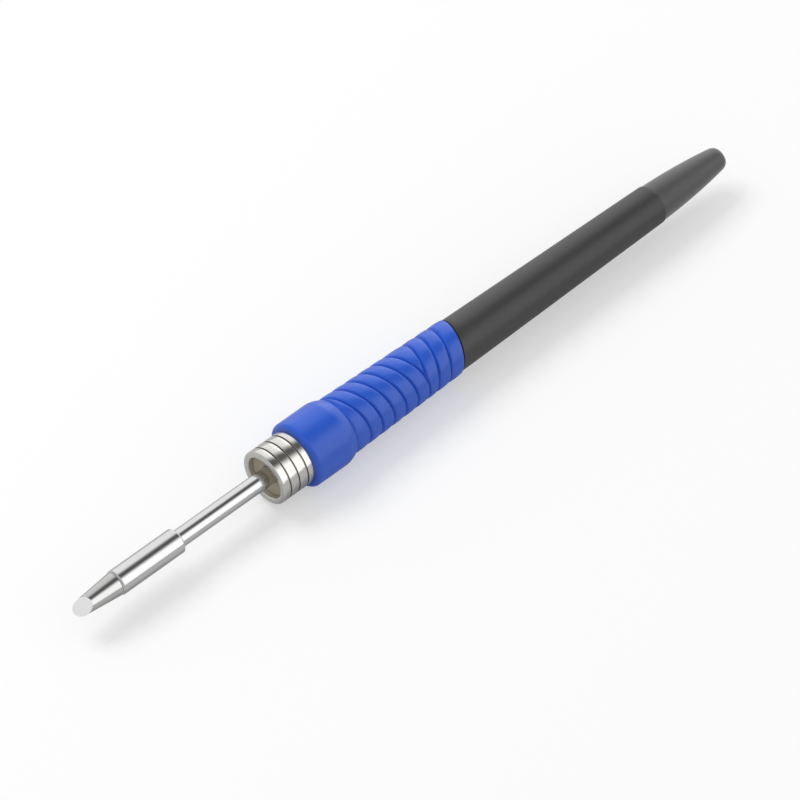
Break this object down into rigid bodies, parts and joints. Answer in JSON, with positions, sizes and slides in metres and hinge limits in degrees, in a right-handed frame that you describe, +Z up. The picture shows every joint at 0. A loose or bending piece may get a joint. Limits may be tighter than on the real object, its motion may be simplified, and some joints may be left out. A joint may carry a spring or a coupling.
{
  "type": "soldering iron",
  "caption": "Slim cartridge soldering iron: bevelled bit, steel barrel and tube, grooved metal nose collar, ribbed rubber grip and tapered handle with cord boot.",
  "frame": {"origin": "centre of the nose collar's front face", "axes": "+X along the iron towards the cord end, the bit points to -X; +Z up, and the bit's bevel faces between +Z and -Y"},
  "size_m": [0.1765, 0.0146, 0.0146],
  "materials": {
    "nickel": "polished nickel plate",
    "beige_bush": "moulded beige high-temperature plastic",
    "seal_rubber": "black rubber",
    "black_nylon": "matt black moulded nylon",
    "blue_rubber": "satin blue rubber",
    "grey_boot": "satin dark grey soft plastic",
    "brass": "turned brass",
    "board": "green laminate",
    "sensor_epoxy": "dark epoxy",
    "gold_spring": "gold-plated spring bronze",
    "spring_steel": "spring steel",
    "iron_plating": "chromed and iron-plated copper",
    "stainless": "polished stainless steel",
    "ceramic": "fired ceramic",
    "heater_wire": "drawn resistance wire"
  },
  "bodies": {
    "handle": {"nose_collar": "nickel", "nose_bush": "beige_bush", "nose_o_ring": "seal_rubber", "handle_tube": "black_nylon", "grip_sleeve": "blue_rubber", "rear_boot": "grey_boot", "rear_o_ring": "seal_rubber", "cord_gland": "seal_rubber", "cord_clamp": "black_nylon", "clamp_ring": "brass", "retainer_cup": "brass", "guide_liner": "black_nylon", "contact_block": "black_nylon", "terminal_board": "board", "cold_junction_sensor": "sensor_epoxy", "earth_spring": "gold_spring", "ring_spring": "gold_spring", "pin_spring": "gold_spring"},
    "ring": {"retaining_ring": "spring_steel"},
    "cartridge": {"soldering_bit": "iron_plating", "barrel_sleeve": "stainless", "cartridge_tube": "stainless", "heater_former": "ceramic", "heater_coil": "heater_wire", "centre_conductor": "nickel", "return_lead": "heater_wire", "bead_insulators": "ceramic", "front_insulator": "ceramic", "ring_contact": "stainless", "rear_insulator": "ceramic", "pin_contact": "stainless"}
  },
  "joints": [
    {"name": "cartridge_turn", "type": "hinge", "parent": "handle", "child": "ring", "pos_m": [0, 0, 0], "axis": [1, 0, 0], "continuous": true},
    {"name": "cartridge_pull", "type": "slide", "parent": "ring", "child": "cartridge", "axis": [-1, 0, 0], "range_m": [0, 0.05]}
  ]
}
